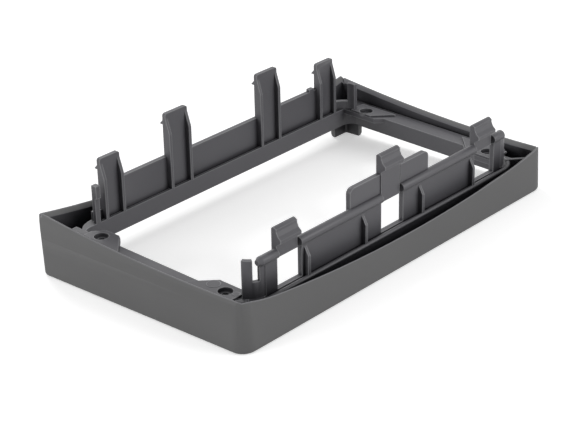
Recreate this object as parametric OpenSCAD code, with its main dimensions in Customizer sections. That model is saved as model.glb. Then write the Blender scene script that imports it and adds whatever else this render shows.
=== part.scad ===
// Car radio mounting frame, a one-piece moulded surround for a double-height radio.
// Millimetres. The frame lies on its front edge, Z = 0, with the fixing side up.
// The radio seat inside it leans back by seat_rake about the X axis.

/* [Skirt] */
// Width of the skirt along X
skirt_w = 198.6; // [196:0.2:204]
// Depth of the skirt along Y
skirt_h = 119.8; // [118:0.2:124]
// Wall thickness of the skirt
skirt_t = 2.4; // [2:0.1:2.8]
// Plan radius of the two corners on the low side
near_corner_r = 6.5; // [4:0.5:7]
// Plan radius of the two corners on the high side
far_corner_r = 3.4; // [3:0.1:6]
// Radius round the bottom edge
foot_r = 1.8; // [0.8:0.1:2]
// Height of the faint crease round the skirt
crease_z = 12.5; // [10:0.5:14]
// Inward lean of the wall just above the crease, degrees
crease_lean = 1; // [0.5:0.1:2]
// Radius of the inward roll above the crease
roll_r = 80; // [75:1:160]
// Slope of the rim towards the inside, degrees
rim_slope = 35; // [20:1:40]

/* [Rim curves] */
// Lowest rim height on the low long side
near_low = 13.6; // [12.5:0.1:15]
// Lowest rim height on the high long side
far_low = 18; // [17:0.1:22]
// Lowest rim height on the left short side
left_low = 22.9; // [22:0.1:25]
// Lowest rim height on the right short side
right_low = 18.6; // [18:0.1:22]
// Sweep radius of the low long rim
near_sweep = 700; // [600:10:900]
// Sweep radius of the high long rim
far_sweep = 500; // [450:10:650]
// Sweep radius of the left short rim
left_sweep = 830; // [750:10:1000]
// Sweep radius of the right short rim
right_sweep = 590; // [560:10:800]

/* [Radio seat] */
// Backward lean of the radio seat, degrees
seat_rake = 2.5; // [1.5:0.1:3]
// Window width, the clear opening of a double-height radio
window_w = 173; // [170:0.5:175]
// Window height
window_h = 95; // [92:0.5:97]
// Corner radius of the window
window_r = 5; // [3:0.5:7]
// Height of the front edge of the window wall
window_edge_z = 9.2; // [8.6:0.1:10]
// Height of the ledge round the window
ledge_z = 17.7; // [16.5:0.1:19]
// Thickness of the ledge plate and the screw plates
plate_t = 2.4; // [1.8:0.1:2.8]
// Width of the side ledge measured along X
side_ledge = 8; // [6.5:0.1:8.5]
// Slope of the front surround down from the window, degrees
surround_slope = 30; // [28:0.5:36]
// Length of the relief in the front lip on the high long side
far_relief = 176; // [150:2:178]
// Length of the relief in the front lip on the right short side
right_relief = 100; // [70:2:102]
// Depth of the shadow groove behind the long ledges
groove_depth = 3; // [2:0.1:4]

/* [Screw plates] */
// Distance between the screws along X
screw_pitch_x = 172; // [170:0.2:173]
// Distance between the screws along Y
screw_pitch_y = 72.5; // [70:0.5:75]
// Screw hole diameter
screw_d = 3.2; // [2.5:0.1:3.8]
// Counterbore diameter
head_d = 6.3; // [5.5:0.1:7]
// Counterbore depth
head_depth = 1.6; // [1:0.1:2]
// Height of the screw pad above the ledge
pad_rise = 0.9; // [0.5:0.1:1.2]
// Reach of a screw plate into the window
plate_reach = 6; // [5:0.1:7]

/* [Far tabs] */
// Distance between the two outer tabs, centre to centre
tab_outer_pitch = 138; // [134:0.5:140]
// Distance between the two inner tabs, centre to centre
tab_inner_pitch = 58; // [54:0.5:62]
// Width of an outer tab
tab_outer_w = 11.4; // [10:0.2:13]
// Width of an inner tab
tab_inner_w = 13.4; // [12:0.2:15]
// Top height of an outer tab
tab_outer_top = 45.4; // [42:0.2:48]
// Top height of an inner tab
tab_inner_top = 53; // [50:0.2:56]
// Plate thickness of a tab
tab_t = 1.8; // [1.5:0.1:2.2]
// Depth of the side flanges of a tab
flange_depth = 2.2; // [1.6:0.1:2.4]
// Length of the sloped lead-in on the flanges
lead_in = 7; // [5:0.5:9]
// Reach of the catch on the back of a tab
nib_reach = 1.8; // [0.8:0.1:2.4]
// Height of the wall between the tabs
web_top = 32.6; // [30:0.2:35]

/* [Near clips] */
// Distance between neighbouring clips
clip_pitch = 63.8; // [62:0.2:65]
// Width of a clip
clip_w = 12.2; // [11:0.2:13]
// Top height of the middle clip
clip_mid_top = 53.6; // [51:0.2:56]
// Top height of the two outer clips
clip_end_top = 45; // [43:0.2:47]
// Thickness of a clip finger and of the near wall
clip_t = 2.3; // [2:0.1:2.6]
// Reach of the hook beyond the finger
hook_reach = 2.3; // [1.6:0.1:3]
// Width of the slit that frees one side of a clip
slit_w = 0.9; // [0.6:0.1:1.4]
// Radius of the half-round bead along the near wall
bead_r = 2.1; // [1.6:0.1:2.3]
// Height of the bead centre
bead_z = 34; // [33:0.1:35]
// Height of the two stiffening plates beside the middle clip
stiffener_top = 44.8; // [42:0.2:46]
// Length of a stiffening plate along X
stiffener_len = 19.6; // [16:0.2:22]
// Width of the openings under the clips
opening_w = 14.4; // [13.6:0.2:15.6]
// Depth of the gusset ribs
gusset_depth = 2.2; // [1.6:0.1:2.4]

/* [Hidden] */
$fn = 48;

half_w = skirt_w / 2;
half_h = skirt_h / 2;
skirt_top = 34;
reach = 260;
eps = 0.01;
over = 1;
root = 0.5;

// Rim curve centres, measured along each side as seen from outside.
near_mid = 4.4;
right_mid = -52.8;
far_mid = 3.5;
left_mid = 40.8;
flare_left = -79.6;
flare_left_r = 79;
flare_right = 75.4;
flare_right_r = 200;
rim_set = 1.8;
rim_in = 7;
cut_out = 30;
cut_deep = 6;
cut_tall = (skirt_top - near_low) / cos(rim_slope) + 3;

// The seat is measured from the middle of the screw pattern.
seat_x = 0.4;
seat_y = -0.75;
side_draft = 0.8;
win_x = window_w / 2;
win_y = window_h / 2;
win_low_x = win_x + side_draft;
win_top_x = win_x - side_draft;
taper_drop = 12;
wall_foot = 2;
window_sink = 3;
window_clear = 40;
relief_start = 3;

// Far long side: lip, groove, then the wall that carries the tabs.
ledge_lip = 1.3;
web_in = win_y + 2.7;
web_out = win_y + 4.8;
tab_in = win_y + 2.1;
tab_out = tab_in + tab_t;
web_dip = 1;
low_wall_top = 21.7;
tab_mid = 2;
tab_foot_z = ledge_z - groove_depth;
flange_t = 1.5;
tab_tip_r = 1.2;
lead_start = 2.4;
nib_margin = 0.2;
nib_drop = 4.4;
nib_ramp = 1.9;
nib_foot = 1;
nib_edge = 0.3;
bump_x = 62.4;
bump_w = 3;
bump_rise = 1.2;

// Near long side: the clip wall stands on the window edge.
near_in = -win_y;
near_out = near_in - clip_t;
ridge_r = 1.1;
ridge_y = near_out - 1.7;
ridge_drop = 0.8;
groove_half = 78;
clip_mid = -1;
clip_proud = 0.4;
clip_round = 0.7;
clip_bevel = 1.2;
hook_start = 1.9;
hook_lead = 4.9;
hook_flat = 6.3;
hook_end = 8;
hook_hollow = 0.3;
opening_set = 5.4;
cut_through = 5;
bead_left = -80;
bead_taper = 0.9;
bead_right = 77;
stiffener_r = 2.5;
right_stiffener_len = stiffener_len - 1;
gusset_mid = 0.4;
gusset_pitches = [-54.1, -18.7, 18.7, 54.1];
gusset_t = 1.4;
gusset_top = 30.5;
gusset_lead = 4;

// Corners of the seat.
corner_x = 77;
corner_r = 8.9;
corner_t = 1.8;
near_left_arc = [204, 273];
near_left_slot = [233, 252];
near_left_step = [250, 280];
near_left_step_z = bead_z - bead_r + 0.5;
near_right_arc = [267, 345];
far_right_arc = [-8, 93];
far_right_step = [10, 100];
sector_r = 16;
seam = 0.15;
corner_near_y = near_out + corner_r + seam;
corner_far_y = web_out - corner_r - seam;
base_r = 12.2;
ridge_set = 0.6;
base_near_y = ridge_y - ridge_set + base_r;
base_far_y = web_out - base_r;
side_wall_x = corner_x + base_r;
shelf_x = win_x + side_ledge;
shelf_lip = 5;
shelf_r = 4;
slot_floor_z = 25;
near_post_top = 34.5;
end_panel_top = 31.5;
left_post_top = 35.4;
left_post_x = -78.5;
left_post_w = 2.5;
left_post_deep = 1.8;
left_post_nose = 1;
left_post_step = 29.5;
back_post_top = 28.5;
near_plate_start = 21.6;
far_plate_start = 24.6;
far_left_stop = 38.5;
far_right_reach = plate_reach - 2;
near_pad_start = 17.4;
far_left_pad_start = 20;
far_right_pad_start = 22.5;
plate_root = 2;
pad_out = 5;
pad_set = 0.3;
pad_end = 43;
brace_len = 12;
brace_t = 1.4;
brace_top = 15;

// Exact rounded plan of the skirt, shrunk by inset.
module skirt_plan(inset) {
    w = half_w - inset;
    h = half_h - inset;
    difference() {
        square([2 * w, 2 * h], center = true);
        for (sx = [-1, 1]) {
            plan_corner(sx * w, -h, near_corner_r - inset);
            plan_corner(sx * w, h, far_corner_r - inset);
        }
    }
}

module plan_corner(x, y, r) {
    sx = sign(x);
    sy = sign(y);
    difference() {
        translate([x - sx * (r / 2 - over), y - sy * (r / 2 - over)])
            square([r + 2 * over, r + 2 * over], center = true);
        translate([x - sx * r, y - sy * r])
            circle(r = r);
    }
}

// Cross-section of the skirt between two opposite walls.
module wall_section(half, foot) {
    difference() {
        translate([-half, 0])
            square([2 * half, crease_z]);
        for (s = [-1, 1])
            plan_foot(s * half, foot);
    }
    intersection() {
        for (s = [-1, 1])
            translate([s * (half - roll_r * cos(crease_lean)), crease_z - roll_r * sin(crease_lean)])
                circle(r = roll_r, $fn = 180);
        translate([-half, crease_z - eps])
            square([2 * half, skirt_top]);
    }
}

module plan_foot(x, r) {
    sx = sign(x);
    difference() {
        translate([x - sx * (r / 2 - over), r / 2 - over])
            square([r + 2 * over, r + 2 * over], center = true);
        translate([x - sx * r, r])
            circle(r = r);
    }
}

// Rounds the bottom edge where it turns round a plan corner.
module corner_foot(inset, foot) {
    for (sx = [-1, 1], sy = [-1, 1]) {
        r = (sy < 0 ? near_corner_r : far_corner_r) - inset;
        translate([sx * (half_w - inset - r), sy * (half_h - inset - r), 0])
            rotate([0, 0, sx > 0 ? (sy > 0 ? 0 : -90) : (sy > 0 ? 90 : 180)])
                rotate_extrude(angle = 90)
                    difference() {
                        translate([r - foot, -over])
                            square([foot + over, foot + over]);
                        translate([r - foot, foot])
                            circle(r = foot);
                    }
    }
}

module skirt_solid(inset, foot) {
    intersection() {
        linear_extrude(height = skirt_top)
            skirt_plan(inset);
        rotate([90, 0, 0])
            linear_extrude(height = reach, center = true)
                wall_section(half_w - inset, foot);
        rotate([90, 0, 90])
            linear_extrude(height = reach, center = true)
                wall_section(half_h - inset, foot);
    }
}

// The sweeping rim is a slice of a leaned cylinder, so it stays one true arc.
module rim_arc(mid, sweep) {
    r = sweep / cos(rim_slope);
    translate([mid, r])
        circle(r = r, $fn = 720);
}

// A tighter arc that takes over from the rim arc where their tangents agree.
module rim_flare(mid, sweep, at, flare) {
    r = sweep / cos(rim_slope);
    f = flare / cos(rim_slope);
    a = asin((at - mid) / r);
    translate([mid + (r - f) * sin(a), r - (r - f) * cos(a)])
        circle(r = f, $fn = 360);
}

module near_rim_arc() {
    intersection() {
        rim_arc(near_mid, near_sweep);
        union() {
            translate([flare_left, -over])
                square([flare_right - flare_left, cut_tall]);
            rim_flare(near_mid, near_sweep, flare_left, flare_left_r);
            rim_flare(near_mid, near_sweep, flare_right, flare_right_r);
        }
    }
}

// Cuts one rim; the four cuts meet in mitres at the corners.
module rim_cut(turn, half, along, low) {
    rotate([0, 0, turn])
        intersection() {
            translate([0, rim_set - half, low])
                rotate([-rim_slope, 0, 0])
                    translate([0, cut_deep, 0])
                        rotate([90, 0, 0])
                            linear_extrude(height = cut_out + cut_deep)
                                intersection() {
                                    children();
                                    translate([-reach / 2, -over])
                                        square([reach, cut_tall]);
                                }
            linear_extrude(height = skirt_top + cut_deep)
                polygon([
                    [-along - cut_deep, -half - cut_deep],
                    [along + cut_deep, -half - cut_deep],
                    [along - rim_in, rim_in - half],
                    [rim_in - along, rim_in - half]
                ]);
        }
}

module skirt() {
    difference() {
        skirt_solid(0, foot_r);
        corner_foot(0, foot_r);
        intersection() {
            skirt_solid(skirt_t, foot_r);
            translate([-half_w, -half_h, skirt_t])
                cube([skirt_w, skirt_h, skirt_top]);
        }
        rim_cut(0, half_h, half_w, near_low)
            near_rim_arc();
        rim_cut(90, half_w, half_h, right_low)
            rim_arc(right_mid, right_sweep);
        rim_cut(180, half_h, half_w, far_low)
            rim_arc(far_mid, far_sweep);
        rim_cut(270, half_w, half_h, left_low)
            rim_arc(left_mid, left_sweep);
    }
}

// Places its children in the leaning frame of the radio seat.
module seat() {
    translate([seat_x, seat_y, 0])
        rotate([seat_rake, 0, 0])
            children();
}

module taper_section(half, grow) {
    drop = window_edge_z + taper_drop;
    run = drop / tan(surround_slope);
    polygon([
        [-half - grow - run, window_edge_z - drop],
        [half + grow + run, window_edge_z - drop],
        [half + grow, window_edge_z],
        [-half - grow, window_edge_z]
    ]);
}

// Four-sided taper from the front land up to the window edge.
module surround_taper(grow) {
    intersection() {
        rotate([90, 0, 0])
            linear_extrude(height = reach, center = true)
                taper_section(win_low_x, grow);
        rotate([90, 0, 90])
            linear_extrude(height = reach, center = true)
                taper_section(win_y, grow);
    }
}

module window_cut() {
    intersection() {
        translate([0, 0, window_edge_z - window_sink])
            linear_extrude(height = window_clear)
                difference() {
                    square([2 * win_low_x, 2 * win_y], center = true);
                    for (sx = [-1, 1], sy = [-1, 1])
                        plan_corner(sx * win_low_x, sy * win_y, window_r);
                }
        rotate([90, 0, 0])
            linear_extrude(height = reach, center = true)
                polygon([
                    [-win_low_x, window_edge_z - window_sink],
                    [win_low_x, window_edge_z - window_sink],
                    [win_low_x, window_edge_z],
                    [win_top_x, ledge_z],
                    [win_top_x, ledge_z + window_clear],
                    [-win_top_x, ledge_z + window_clear],
                    [-win_top_x, ledge_z],
                    [-win_low_x, window_edge_z]
                ]);
    }
}

// Plan of the window wall with its rounded corners.
module seat_plan() {
    translate([-corner_x, base_near_y - base_r])
        square([2 * corner_x, base_far_y - base_near_y + 2 * base_r]);
    translate([-side_wall_x, base_near_y])
        square([2 * side_wall_x, base_far_y - base_near_y]);
    for (sx = [-1, 1]) {
        translate([sx * corner_x, base_near_y])
            circle(r = base_r);
        translate([sx * corner_x, base_far_y])
            circle(r = base_r);
    }
}

module window_wall() {
    difference() {
        union() {
            translate([0, 0, window_edge_z - wall_foot])
                linear_extrude(height = ledge_z - window_edge_z + wall_foot)
                    seat_plan();
            for (sx = [-1, 1])
                side_shelf(sx);
        }
        translate([-groove_half, win_y + ledge_lip, ledge_z - groove_depth])
            cube([2 * groove_half, web_in - win_y - ledge_lip, groove_depth + over]);
        translate([-groove_half, ridge_y, ledge_z - groove_depth])
            cube([2 * groove_half, near_out - ridge_y, groove_depth + over]);
    }
}

// Broad ledge on a short side, with its turned-down outer edge.
module side_shelf(sx) {
    x_in = min(sx * win_top_x, sx * shelf_x);
    x_lip = min(sx * (shelf_x - plate_t), sx * shelf_x);
    translate([0, 0, ledge_z - plate_t])
        linear_extrude(height = plate_t)
            difference() {
                translate([x_in, base_near_y])
                    square([shelf_x - win_top_x, web_out - base_near_y]);
                plan_corner(sx * shelf_x, web_out, shelf_r);
            }
    translate([x_lip, base_near_y, ledge_z - shelf_lip])
        cube([plate_t, web_out - shelf_r - base_near_y, shelf_lip]);
}

// Rounded ridge outside the near groove, carried round both near corners.
module ridge() {
    translate([-corner_x, ridge_y, ledge_z - ridge_drop])
        rotate([0, 90, 0])
            cylinder(r = ridge_r, h = 2 * corner_x);
    for (sx = [0, 1])
        mirror([sx, 0, 0])
            translate([corner_x, base_near_y, ledge_z - ridge_drop])
                rotate([0, 0, -90])
                    rotate_extrude(angle = 90)
                        translate([base_near_y - ridge_y, 0])
                            circle(r = ridge_r, $fn = 24);
}

// Sector of a plan circle between two angles.
module sector(span) {
    from = span[0];
    to = span[1];
    mid = (from + to) / 2;
    polygon([
        [0, 0],
        [sector_r * cos(from), sector_r * sin(from)],
        [sector_r * cos(mid), sector_r * sin(mid)],
        [sector_r * cos(to), sector_r * sin(to)]
    ]);
}

// Curved wall round a seat corner, between two angles.
module corner_arc(span, top) {
    translate([0, 0, ledge_z - over])
        linear_extrude(height = top - ledge_z + over)
            intersection() {
                difference() {
                    circle(r = corner_r);
                    circle(r = corner_r - corner_t);
                }
                sector(span);
            }
}

module arc_cut(span, floor_z) {
    translate([0, 0, floor_z])
        linear_extrude(height = skirt_top)
            sector(span);
}

module corner_posts() {
    translate([-corner_x, corner_near_y, 0])
        difference() {
            corner_arc(near_left_arc, near_post_top);
            arc_cut(near_left_slot, slot_floor_z);
            arc_cut(near_left_step, near_left_step_z);
        }
    translate([corner_x, corner_near_y, 0])
        corner_arc(near_right_arc, end_panel_top);
    translate([corner_x, corner_far_y, 0])
        difference() {
            corner_arc(far_right_arc, back_post_top);
            arc_cut(far_right_step, low_wall_top);
        }
    translate([left_post_x, win_y, ledge_z - groove_depth - over])
        cube([left_post_w, left_post_deep, left_post_step - ledge_z + groove_depth + over]);
    translate([left_post_x, win_y - left_post_nose, left_post_step])
        cube([left_post_w, left_post_deep + left_post_nose, left_post_top - left_post_step]);
}

// Plate that carries one screw, standing into the window at a seat corner.
module screw_plate(sx, sy, grip, start, stop, pad_from) {
    inner = win_x - grip;
    plate_end = min(stop + grip, win_y + over);
    pad_x = win_x + pad_out;
    translate([0, 0, ledge_z - plate_t])
        linear_extrude(height = plate_t)
            mirror_plan(sx, sy)
                polygon([
                    [win_x + plate_root, start],
                    [win_x, start],
                    [inner, start + grip],
                    [inner, stop],
                    [win_x, plate_end],
                    [win_x + plate_root, plate_end]
                ]);
    translate([0, 0, ledge_z - eps])
        linear_extrude(height = pad_rise + eps)
            mirror_plan(sx, sy)
                polygon([
                    [pad_x, pad_from],
                    [inner + pad_set, pad_from + pad_x - inner - pad_set],
                    [inner + pad_set, min(stop, pad_end)],
                    [win_x - over, pad_end],
                    [pad_x, pad_end]
                ]);
}

module screw_plates() {
    screw_plate(-1, -1, plate_reach, near_plate_start, win_y, near_pad_start);
    screw_plate(1, -1, plate_reach, near_plate_start, win_y, near_pad_start);
    screw_plate(-1, 1, plate_reach, far_plate_start, far_left_stop, far_left_pad_start);
    screw_plate(1, 1, far_right_reach, far_plate_start, win_y, far_right_pad_start);
}

module mirror_plan(sx, sy) {
    mirror([sx < 0 ? 1 : 0, 0])
        mirror([0, sy < 0 ? 1 : 0])
            children();
}

module screw_bores() {
    for (sx = [-1, 1], sy = [-1, 1])
        translate([sx * screw_pitch_x / 2, sy * screw_pitch_y / 2, 0]) {
            translate([0, 0, ledge_z - plate_t])
                cylinder(d = screw_d, h = plate_t + pad_rise);
            translate([0, 0, ledge_z + pad_rise - head_depth])
                cylinder(d = head_d, h = head_depth + over);
        }
}

// Far tab: a shallow channel with sloped lead-ins and a catch on its back.
module far_tab(mid, width, top) {
    translate([mid - width / 2, 0, 0]) {
        translate([0, tab_out, 0])
            rotate([90, 0, 0])
                linear_extrude(height = tab_t)
                    difference() {
                        translate([0, tab_foot_z])
                            square([width, top - tab_foot_z]);
                        plan_tip(0, top, tab_tip_r, 1);
                        plan_tip(width, top, tab_tip_r, -1);
                    }
        for (x = [0, width - flange_t])
            translate([x, 0, 0])
                rotate([90, 0, 90])
                    linear_extrude(height = flange_t)
                        polygon([
                            [tab_in + root, ledge_z - root],
                            [tab_in - flange_depth, ledge_z - root],
                            [tab_in - flange_depth, top - lead_start - lead_in],
                            [tab_in, top - lead_start],
                            [tab_in + root, top - lead_start]
                        ]);
        translate([nib_margin, 0, top - nib_drop])
            rotate([90, 0, 90])
                linear_extrude(height = width - 2 * nib_margin)
                    polygon([
                        [tab_out - root, nib_ramp - nib_foot + nib_edge],
                        [tab_out, nib_ramp - nib_foot + nib_edge],
                        [tab_out + nib_reach, nib_edge - nib_foot],
                        [tab_out + nib_reach, -nib_foot],
                        [tab_out - root, -nib_foot]
                    ]);
    }
}

// Rounds one upper corner of an upright plate.
module plan_tip(x, top, r, side) {
    difference() {
        translate([side > 0 ? x - over : x - r, top - r])
            square([r + over, r + over]);
        translate([x + side * r, top - r])
            circle(r = r);
    }
}

module far_wall() {
    outer = tab_outer_pitch / 2;
    inner = tab_inner_pitch / 2;
    for (s = [-1, 1]) {
        far_tab(tab_mid + s * outer, tab_outer_w, tab_outer_top);
        far_tab(tab_mid + s * inner, tab_inner_w, tab_inner_top);
    }
    translate([tab_mid - outer, web_in, ledge_z - groove_depth])
        cube([outer - inner, web_out - web_in, web_top - ledge_z + groove_depth]);
    translate([tab_mid - inner, web_in, ledge_z - groove_depth])
        cube([2 * inner, web_out - web_in, web_top - web_dip - ledge_z + groove_depth]);
    translate([tab_mid + inner, web_in, ledge_z - groove_depth])
        cube([outer - inner, web_out - web_in, web_top - ledge_z + groove_depth]);
    translate([-corner_x, web_in, ledge_z - groove_depth])
        cube([2 * corner_x, web_out - web_in, low_wall_top - ledge_z + groove_depth]);
    translate([bump_x - bump_w / 2, web_in, web_top - over])
        cube([bump_w, web_out - web_in, bump_rise + over]);
}

// Profile of a snap clip seen from its side.
module clip_profile(top) {
    face = near_out - clip_proud;
    polygon([
        [near_in, bead_z - bead_r],
        [near_in, top - clip_round],
        [near_in - clip_round, top],
        [face + clip_bevel, top],
        [face, top - clip_round],
        [face, top - hook_start],
        [face - hook_reach / 2 + hook_hollow, top - (hook_start + hook_lead) / 2 - hook_hollow],
        [face - hook_reach, top - hook_lead],
        [face - hook_reach, top - hook_flat],
        [face, top - hook_end],
        [face, bead_z - bead_r]
    ]);
}

module near_clip(mid, top) {
    translate([mid - clip_w / 2, 0, 0])
        rotate([90, 0, 90])
            linear_extrude(height = clip_w)
                clip_profile(top);
}

module near_wall() {
    difference() {
        union() {
            translate([-corner_x, near_out, ledge_z - groove_depth])
                cube([2 * corner_x, clip_t, bead_z - ledge_z + groove_depth]);
            translate([bead_left, near_out, bead_z])
                rotate([0, 90, 0])
                    cylinder(r = bead_r, h = bead_right - bead_left);
            translate([bead_left + eps, near_out, bead_z])
                rotate([0, -90, 0])
                    cylinder(r1 = bead_r, r2 = bead_r - bead_taper, h = 2 * bead_taper);
        }
        for (k = [-1, 0, 1]) {
            translate([clip_mid + k * clip_pitch - opening_set, near_out - cut_through, ledge_z])
                cube([opening_w, 2 * cut_through, bead_z - bead_r - ledge_z]);
            translate([clip_mid + k * clip_pitch - clip_w / 2, near_out - cut_through, bead_z - bead_r - eps])
                cube([clip_w + slit_w, 2 * cut_through, 2 * bead_r + over]);
        }
    }
    near_clip(clip_mid - clip_pitch, clip_end_top);
    near_clip(clip_mid, clip_mid_top);
    near_clip(clip_mid + clip_pitch, clip_end_top);
    stiffeners();
    for (x = gusset_pitches)
        gusset(gusset_mid + x);
}

// Plates above the bead that stiffen the middle clip.
module stiffeners() {
    left = clip_mid - clip_w / 2 + root;
    right = clip_mid + clip_w / 2 + slit_w;
    translate([0, near_in, 0])
        rotate([90, 0, 0])
            linear_extrude(height = clip_t)
                difference() {
                    union() {
                        translate([left - stiffener_len, bead_z])
                            square([stiffener_len, stiffener_top - bead_z]);
                        translate([right, bead_z])
                            square([right_stiffener_len, stiffener_top - bead_z]);
                    }
                    plan_tip(left - stiffener_len, stiffener_top, stiffener_r, 1);
                    plan_tip(right + right_stiffener_len, stiffener_top, stiffener_r, -1);
                }
}

module gusset(x) {
    translate([x - gusset_t / 2, 0, 0])
        rotate([90, 0, 90])
            linear_extrude(height = gusset_t)
                polygon([
                    [near_out + root, ledge_z - groove_depth],
                    [near_out - gusset_depth, ledge_z - groove_depth],
                    [near_out - gusset_depth, gusset_top - gusset_lead],
                    [near_out, gusset_top],
                    [near_out + root, gusset_top]
                ]);
}

// Thin braces between the seat corners and the skirt corners.
module corner_braces() {
    for (sx = [-1, 1], sy = [-1, 1])
        translate([sx * corner_x + seat_x, (sy < 0 ? base_near_y : base_far_y) + seat_y, skirt_t / 2])
            rotate([0, 0, atan2(sy, sx)])
                translate([base_r - over, -brace_t / 2, 0])
                    cube([brace_len, brace_t, brace_top]);
}

// The shell: skirt, sloped front surround and the window wall.
module shell() {
    difference() {
        union() {
            skirt();
            intersection() {
                skirt_solid(skirt_t / 2, foot_r);
                union() {
                    seat()
                        surround_taper(skirt_t / sin(surround_slope));
                    corner_braces();
                }
            }
            seat()
                window_wall();
        }
        intersection() {
            translate([0, 0, -skirt_top])
                linear_extrude(height = 2 * skirt_top)
                    skirt_plan(skirt_t);
            seat()
                surround_taper(0);
        }
        seat() {
            window_cut();
            lip_reliefs();
        }
    }
}

// The front lip is cut away along the high side and the right side.
module lip_reliefs() {
    lip_top = window_edge_z - (half_h - skirt_t - win_y) * tan(surround_slope);
    translate([-far_relief / 2, win_y + relief_start, lip_top - 2 * cut_deep])
        cube([far_relief, cut_out, 2 * cut_deep]);
    translate([win_x + relief_start, -right_relief / 2, lip_top - 2 * cut_deep])
        cube([cut_out, right_relief, 2 * cut_deep]);
}

module radio_frame() {
    color([0.3, 0.3, 0.31])
        difference() {
            union() {
                shell();
                seat() {
                    ridge();
                    corner_posts();
                    far_wall();
                    near_wall();
                    screw_plates();
                }
            }
            seat()
                screw_bores();
        }
}

radio_frame();
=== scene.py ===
import math

import bmesh
import bpy
from mathutils import Matrix, Vector


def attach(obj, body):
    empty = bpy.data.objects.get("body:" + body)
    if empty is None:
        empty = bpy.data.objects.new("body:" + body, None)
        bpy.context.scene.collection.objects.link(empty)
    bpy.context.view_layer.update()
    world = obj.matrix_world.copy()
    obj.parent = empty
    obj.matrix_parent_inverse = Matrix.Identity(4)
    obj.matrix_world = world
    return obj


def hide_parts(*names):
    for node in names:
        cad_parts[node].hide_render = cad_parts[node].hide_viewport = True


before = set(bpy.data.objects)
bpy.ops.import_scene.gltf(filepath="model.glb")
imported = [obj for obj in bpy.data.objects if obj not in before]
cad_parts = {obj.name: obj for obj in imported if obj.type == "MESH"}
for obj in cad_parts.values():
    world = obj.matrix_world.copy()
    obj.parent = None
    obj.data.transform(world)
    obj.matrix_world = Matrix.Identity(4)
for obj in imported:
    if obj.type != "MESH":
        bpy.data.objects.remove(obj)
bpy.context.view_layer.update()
print("frame loaded")

mm = 0.001

# the radio seat leans back inside the skirt, and what stands on it is placed in the seat's own axes
seatPlace = {
    "shift": (0.4, -0.75, 0.0),     # mm
    "rake": 2.5,                    # degrees
    "padTop": 18.6,                 # mm, the top of the screw pads
}

# grained show faces outside, smoother and darker plastic inside
plasticLook = {
    "grained": ((0.134, 0.134, 0.135, 1.0), (0.120, 0.120, 0.121, 1.0)),
    "smooth": ((0.105, 0.103, 0.113, 1.0), (0.084, 0.083, 0.092, 1.0)),
    "grainedRoughness": 0.62,
    "smoothRoughness": 0.4,
    "roughnessSpread": 0.08,
    "specular": 0.5,
    # show faces lie further out than showX or showY, in metres, or face down more than showDown
    "showX": 0.09715,
    "showY": 0.0578,
    "showEdge": 0.0003,
    "showDown": -0.5,
    "grainScale": 2600.0,
    "grainDetail": 2.0,
    "grainRoughness": 0.6,
    "grainDepth": 0.00003,
    "flowScale": 22.0,
    "flowDetail": 3.0,
    "flowDepth": 0.00006,
    "flowStrength": 0.4,
    # painted shade: the near-black colour laid into deep recesses, by how closed in a point is
    "recess": (0.008, 0.008, 0.01, 1.0),
    "recessReach": 0.02,
    "recessRange": (0.22, 0.8),     # from closed in to open
    # painted highlight: the lighter colour laid along sharp outer edges
    "edge": (0.22, 0.22, 0.23, 1.0),
    "edgeReach": 0.0006,
    "edgeRange": (0.5, 0.95),       # from a sharp edge to a flat face
    "reachSamples": 12,
}


def seatMatrix():
    shift = Vector(seatPlace["shift"]) * mm
    return Matrix.Translation(shift) @ Matrix.Rotation(math.radians(seatPlace["rake"]), 4, "X")


def addNode(tree, kind, x, y, **settings):
    node = tree.nodes.new(kind)
    node.location = (x, y)
    for name, value in settings.items():
        setattr(node, name, value)
    return node


def larger(tree, link, first, second, x, y):
    node = addNode(tree, "ShaderNodeMath", x, y, operation="MAXIMUM")
    link(first, node.inputs[0])
    link(second, node.inputs[1])
    return node.outputs["Value"]


def showFaceMask(tree, link, coords, look):
    split = addNode(tree, "ShaderNodeSeparateXYZ", -1400, 600)
    link(coords.outputs["Object"], split.inputs["Vector"])
    masks = []
    for row, (axis, start) in enumerate((("X", look["showX"]), ("Y", look["showY"]))):
        size = addNode(tree, "ShaderNodeMath", -1200, 600 - 200 * row, operation="ABSOLUTE")
        link(split.outputs[axis], size.inputs[0])
        step = addNode(tree, "ShaderNodeMapRange", -1000, 600 - 200 * row)
        step.inputs["From Min"].default_value = start - look["showEdge"]
        step.inputs["From Max"].default_value = start + look["showEdge"]
        link(size.outputs["Value"], step.inputs["Value"])
        masks.append(step.outputs["Result"])
    geometry = addNode(tree, "ShaderNodeNewGeometry", -1400, 900)
    facing = addNode(tree, "ShaderNodeSeparateXYZ", -1200, 900)
    link(geometry.outputs["Normal"], facing.inputs["Vector"])
    down = addNode(tree, "ShaderNodeMath", -1000, 900, operation="LESS_THAN")
    down.inputs[1].default_value = look["showDown"]
    link(facing.outputs["Z"], down.inputs[0])
    sides = larger(tree, link, masks[0], masks[1], -800, 600)
    return larger(tree, link, sides, down.outputs["Value"], -600, 700)


def colourMix(tree, link, factor, first, second, x, y):
    mix = addNode(tree, "ShaderNodeMix", x, y, data_type="RGBA")
    for name, value in (("A", first), ("B", second)):
        socket = [s for s in mix.inputs if s.name == name and s.type == "RGBA"][0]
        if isinstance(value, tuple):
            socket.default_value = value
        else:
            link(value, socket)
    link(factor, mix.inputs[0])
    return [s for s in mix.outputs if s.type == "RGBA"][0]


# how open a point is, from ambient occlusion; it sets the amount of painted shade or painted
# highlight
def openness(tree, link, look, part, inside, y):
    near = addNode(tree, "ShaderNodeAmbientOcclusion", -900, y, inside=inside, only_local=True)
    near.samples = look["reachSamples"]
    near.inputs["Distance"].default_value = look[part + "Reach"]
    level = addNode(tree, "ShaderNodeMapRange", -600, y)
    low, high = look[part + "Range"]
    level.inputs["From Min"].default_value = low
    level.inputs["From Max"].default_value = high
    link(near.outputs["AO"], level.inputs["Value"])
    return level.outputs["Result"]


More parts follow.
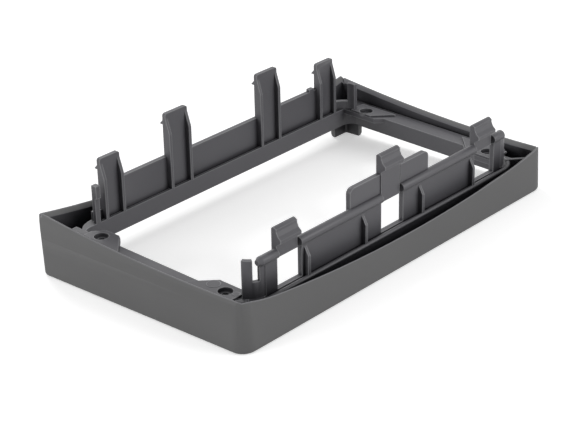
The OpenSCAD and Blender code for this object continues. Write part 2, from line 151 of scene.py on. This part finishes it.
def mouldedPlastic(name, look):
    material = bpy.data.materials.new(name)
    material.use_nodes = True
    tree = material.node_tree
    tree.nodes.clear()
    link = tree.links.new
    output = addNode(tree, "ShaderNodeOutputMaterial", 900, 0)
    shader = addNode(tree, "ShaderNodeBsdfPrincipled", 600, 0)
    link(shader.outputs["BSDF"], output.inputs["Surface"])
    shader.inputs["Specular IOR Level"].default_value = look["specular"]
    coords = addNode(tree, "ShaderNodeTexCoord", -1600, 0)
    shown = showFaceMask(tree, link, coords, look)

    flow = addNode(tree, "ShaderNodeTexNoise", -900, 250)      # slow flow marks of the melt
    flow.inputs["Scale"].default_value = look["flowScale"]
    flow.inputs["Detail"].default_value = look["flowDetail"]
    link(coords.outputs["Object"], flow.inputs["Vector"])
    smooth = colourMix(tree, link, flow.outputs["Fac"], *look["smooth"], -300, 500)
    grained = colourMix(tree, link, flow.outputs["Fac"], *look["grained"], -300, 300)
    colour = colourMix(tree, link, shown, smooth, grained, 0, 400)

    # painted shade darkens the colour in deep recesses, and a painted highlight lightens it along
    # sharp outer edges
    paintedShadeAmount = openness(tree, link, look, "recess", False, 1200)
    shaded = colourMix(tree, link, paintedShadeAmount, look["recess"], colour, 200, 600)
    # painted highlight along sharp outer edges
    body = openness(tree, link, look, "edge", True, 1500)
    withPaintedHighlight = colourMix(tree, link, body, look["edge"], shaded, 400, 600)
    link(withPaintedHighlight, shader.inputs["Base Color"])

    base = addNode(tree, "ShaderNodeMapRange", -300, 50)
    base.inputs["To Min"].default_value = look["smoothRoughness"]
    base.inputs["To Max"].default_value = look["grainedRoughness"]
    link(shown, base.inputs["Value"])
    spread = addNode(tree, "ShaderNodeMath", 0, 50, operation="MULTIPLY_ADD")
    spread.inputs[1].default_value = look["roughnessSpread"]
    link(flow.outputs["Fac"], spread.inputs[0])
    link(base.outputs["Result"], spread.inputs[2])
    link(spread.outputs["Value"], shader.inputs["Roughness"])

    grain = addNode(tree, "ShaderNodeTexNoise", -900, -50)     # spark-eroded grain of the tool
    grain.inputs["Scale"].default_value = look["grainScale"]
    grain.inputs["Detail"].default_value = look["grainDetail"]
    grain.inputs["Roughness"].default_value = look["grainRoughness"]
    link(coords.outputs["Object"], grain.inputs["Vector"])
    fine = addNode(tree, "ShaderNodeBump", 100, -250)
    fine.inputs["Distance"].default_value = look["grainDepth"]
    link(shown, fine.inputs["Strength"])
    link(grain.outputs["Fac"], fine.inputs["Height"])
    broad = addNode(tree, "ShaderNodeBump", 350, -250)
    broad.inputs["Distance"].default_value = look["flowDepth"]
    broad.inputs["Strength"].default_value = look["flowStrength"]
    link(flow.outputs["Fac"], broad.inputs["Height"])
    link(fine.outputs["Normal"], broad.inputs["Normal"])
    link(broad.outputs["Normal"], shader.inputs["Normal"])
    return material


plastic = mouldedPlastic("frame_plastic", plasticLook)


def meshFrom(name, work):
    mesh = bpy.data.meshes.new(name)
    work.to_mesh(mesh)
    work.free()
    return mesh


def addPiece(mesh):
    mesh.materials.clear()
    mesh.materials.append(plastic)
    piece = bpy.data.objects.new(mesh.name, mesh)
    bpy.context.scene.collection.objects.link(piece)
    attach(piece, "root")
    return piece


# the moulding with its edges broken, as the tool leaves them, in metres and degrees
softEdges = {
    "merge": 0.000004,
    "flat": 0.4,
    "edge": 28.0,
    "width": 0.00032,
    "segments": 2,
}


def softMoulding():
    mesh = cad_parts["radio_frame"].data.copy()
    mesh.name = "moulding"
    work = bmesh.new()
    work.from_mesh(mesh)
    bmesh.ops.remove_doubles(work, verts=work.verts, dist=softEdges["merge"])
    bmesh.ops.dissolve_limit(
        work, angle_limit=math.radians(softEdges["flat"]), use_dissolve_boundaries=False,
        verts=work.verts, edges=work.edges, delimit=set())
    work.to_mesh(mesh)
    work.free()
    piece = addPiece(mesh)
    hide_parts("radio_frame")
    bevel = piece.modifiers.new("edges", "BEVEL")
    bevel.width = softEdges["width"]
    bevel.segments = softEdges["segments"]
    bevel.limit_method = "ANGLE"
    bevel.angle_limit = math.radians(softEdges["edge"])
    bevel.use_clamp_overlap = True
    bevel.harden_normals = False


softMoulding()
print("moulding edges broken")

# round marks that the ejector pins leave on the near left screw pad, in mm
pinMarks = {
    "places": ((-84.8, -28.5, 3.0), (-84.9, -41.2, 1.65)),      # x, y and radius
    "root": 1.3,                    # how far a mark reaches down into the pad
    "rise": 0.1,
    "segments": 40,
    "lip": 0.3,
}


def pinMark(index, x, y, radius):
    height = pinMarks["root"] + pinMarks["rise"]
    work = bmesh.new()
    bmesh.ops.create_circle(work, cap_ends=True, segments=pinMarks["segments"], radius=radius * mm)
    top = bmesh.ops.extrude_face_region(work, geom=work.faces[:])
    raised = [v for v in top["geom"] if isinstance(v, bmesh.types.BMVert)]
    bmesh.ops.translate(work, vec=(0, 0, height * mm), verts=raised)
    lid = [f for f in top["geom"] if isinstance(f, bmesh.types.BMFace)]
    bmesh.ops.inset_region(
        work, faces=lid, thickness=pinMarks["lip"] * mm, depth=-pinMarks["rise"] * mm / 2)
    bmesh.ops.recalc_face_normals(work, faces=work.faces)
    foot = Vector((x, y, seatPlace["padTop"] - pinMarks["root"])) * mm
    bmesh.ops.transform(work, matrix=seatMatrix() @ Matrix.Translation(foot), verts=work.verts)
    addPiece(meshFrom("pin_mark_%d" % index, work))


for index, (x, y, radius) in enumerate(pinMarks["places"]):
    pinMark(index, x, y, radius)
print("pin marks added")

# the curved post at the far right corner of the seat, wider and taller than the solid's, in mm
cornerPost = {
    "centre": (77.0, 43.25, 0.0),
    "radii": (7.05, 8.95),
    "span": (-8.5, 24.0),           # degrees
    "heights": (18.2, 31.2),
    "steps": 10,
    "soften": 0.25,
    "softSegments": 2,
    "sharp": 45.0,                  # degrees
}


def curvedPost():
    inner, outer = cornerPost["radii"]
    low, high = cornerPost["heights"]
    start, stop = [math.radians(angle) for angle in cornerPost["span"]]
    work = bmesh.new()
    corners = [(inner, low), (outer, low), (outer, high), (inner, high)]
    section = work.faces.new([work.verts.new((r * mm, 0, z * mm)) for r, z in corners])
    bmesh.ops.rotate(work, cent=(0, 0, 0), matrix=Matrix.Rotation(start, 3, "Z"), verts=work.verts)
    bmesh.ops.spin(
        work, geom=[section] + section.edges[:] + section.verts[:], cent=(0, 0, 0), axis=(0, 0, 1),
        angle=stop - start, steps=cornerPost["steps"], use_duplicate=False)
    bmesh.ops.recalc_face_normals(work, faces=work.faces)
    limit = math.radians(cornerPost["sharp"])
    sharp = [e for e in work.edges if e.is_manifold and e.calc_face_angle() > limit]
    bmesh.ops.bevel(
        work, geom=sharp, offset=cornerPost["soften"] * mm, segments=cornerPost["softSegments"],
        profile=0.5, material=-1, affect="EDGES")
    centre = Vector(cornerPost["centre"]) * mm
    bmesh.ops.transform(work, matrix=seatMatrix() @ Matrix.Translation(centre), verts=work.verts)
    addPiece(meshFrom("corner_post", work))


curvedPost()
print("corner post added")

# floor, surroundings and the point that the lamps are turned to, in metres
stageLook = {
    "size": 6.0,
    "floor": (0.93, 0.93, 0.93, 1.0),
    "floorGlow": 0.46,
    "floorBounce": (0.4, 0.4, 0.4, 1.0),
    "world": (1.0, 1.0, 1.0, 1.0),
    "worldStrength": 0.5,
    "cameraWhite": 1.0,
    "lampAim": (0.0, 0.0, 0.02),
}

# square soft lamps, in metres and watts
lamps = {
    "front": {"at": (0.5, -1.3, 0.6), "size": 0.8, "power": 8.0},
    "left": {"at": (-1.5, 0.5, 0.6), "size": 0.6, "power": 8.0},
    "back": {"at": (0.5, 1.3, 1.1), "size": 0.5, "power": 7.0},
}

# the photograph's camera, in degrees and mm, its clip range in metres
cameraView = {
    "azimuth": -46.26,
    "elevation": 25.0,
    "roll": -3.21,
    "offset": (6.01, -6.48),
    "distance": 789.61,
    "origin": (0.4, -0.75, 0.0),
    "lens": 110.71,
    "sensor": 36.0,
    "clip": (0.01, 50.0),
}


def seenDirectly(tree, link):
    rays = addNode(tree, "ShaderNodeLightPath", -400, 300).outputs
    seen = larger(tree, link, rays["Is Camera Ray"], rays["Is Glossy Ray"], -200, 300)
    return larger(tree, link, seen, rays["Is Transmission Ray"], 0, 300)


def makeFloor():
    work = bmesh.new()
    bmesh.ops.create_grid(work, x_segments=1, y_segments=1, size=stageLook["size"] / 2)
    mesh = meshFrom("floor", work)
    floor = bpy.data.objects.new("floor", mesh)
    bpy.context.scene.collection.objects.link(floor)
    material = bpy.data.materials.new("pale_floor")
    material.use_nodes = True
    tree = material.node_tree
    tree.nodes.clear()
    link = tree.links.new
    output = addNode(tree, "ShaderNodeOutputMaterial", 800, 0)
    mix = addNode(tree, "ShaderNodeMixShader", 600, 0)
    bounce = addNode(tree, "ShaderNodeBsdfDiffuse", 300, 100)
    bounce.inputs["Color"].default_value = stageLook["floorBounce"]
    lit = addNode(tree, "ShaderNodeBsdfDiffuse", 100, -100)
    lit.inputs["Color"].default_value = stageLook["floor"]
    glow = addNode(tree, "ShaderNodeEmission", 100, -250)
    glow.inputs["Strength"].default_value = stageLook["floorGlow"]
    pale = addNode(tree, "ShaderNodeAddShader", 300, -150)
    link(lit.outputs["BSDF"], pale.inputs[0])
    link(glow.outputs["Emission"], pale.inputs[1])
    link(seenDirectly(tree, link), mix.inputs["Fac"])
    link(bounce.outputs["BSDF"], mix.inputs[1])
    link(pale.outputs["Shader"], mix.inputs[2])
    link(mix.outputs["Shader"], output.inputs["Surface"])
    mesh.materials.append(material)


def makeWorld():
    world = bpy.data.worlds.new("studio")
    bpy.context.scene.world = world
    world.use_nodes = True
    tree = world.node_tree
    tree.nodes.clear()
    link = tree.links.new
    output = addNode(tree, "ShaderNodeOutputWorld", 600, 0)
    mix = addNode(tree, "ShaderNodeMixShader", 400, 0)
    link(seenDirectly(tree, link), mix.inputs["Fac"])
    for socket, strength in ((1, stageLook["worldStrength"]), (2, stageLook["cameraWhite"])):
        sky = addNode(tree, "ShaderNodeBackground", 100, 150 - 150 * socket)
        sky.inputs["Color"].default_value = stageLook["world"]
        sky.inputs["Strength"].default_value = strength
        link(sky.outputs["Background"], mix.inputs[socket])
    link(mix.outputs["Shader"], output.inputs["Surface"])


def makeLamps():
    for name, lamp in lamps.items():
        data = bpy.data.lights.new(name, "AREA")
        data.shape = "SQUARE"
        data.size = lamp["size"]
        data.energy = lamp["power"]
        light = bpy.data.objects.new(name, data)
        bpy.context.scene.collection.objects.link(light)
        light.location = lamp["at"]
        toAim = Vector(stageLook["lampAim"]) - Vector(lamp["at"])
        light.rotation_euler = toAim.to_track_quat("-Z", "Y").to_euler()


def makeCamera():
    turn = math.radians(cameraView["azimuth"])
    tilt = math.radians(cameraView["elevation"])
    roll = math.radians(cameraView["roll"])
    level = math.cos(tilt)
    right = Vector((math.cos(turn), math.sin(turn), 0.0))
    back = Vector((math.sin(turn) * level, -math.cos(turn) * level, math.sin(tilt)))
    up = back.cross(right)
    across = right * math.cos(roll) + up * math.sin(roll)
    upright = up * math.cos(roll) - right * math.sin(roll)
    dx, dy = cameraView["offset"]
    spot = back * cameraView["distance"] - across * dx - upright * dy + Vector(cameraView["origin"])
    data = bpy.data.cameras.new("photo_camera")
    data.sensor_fit = "HORIZONTAL"
    data.sensor_width = cameraView["sensor"]
    data.lens = cameraView["lens"]
    data.clip_start, data.clip_end = cameraView["clip"]
    camera = bpy.data.objects.new("photo_camera", data)
    bpy.context.scene.collection.objects.link(camera)
    place = Matrix((across, upright, back)).transposed().to_4x4()
    place.translation = spot * mm
    camera.matrix_world = place
    bpy.context.scene.camera = camera


makeFloor()
makeWorld()
makeLamps()
makeCamera()
bpy.context.scene.view_settings.view_transform = "Standard"
print("stage ready")
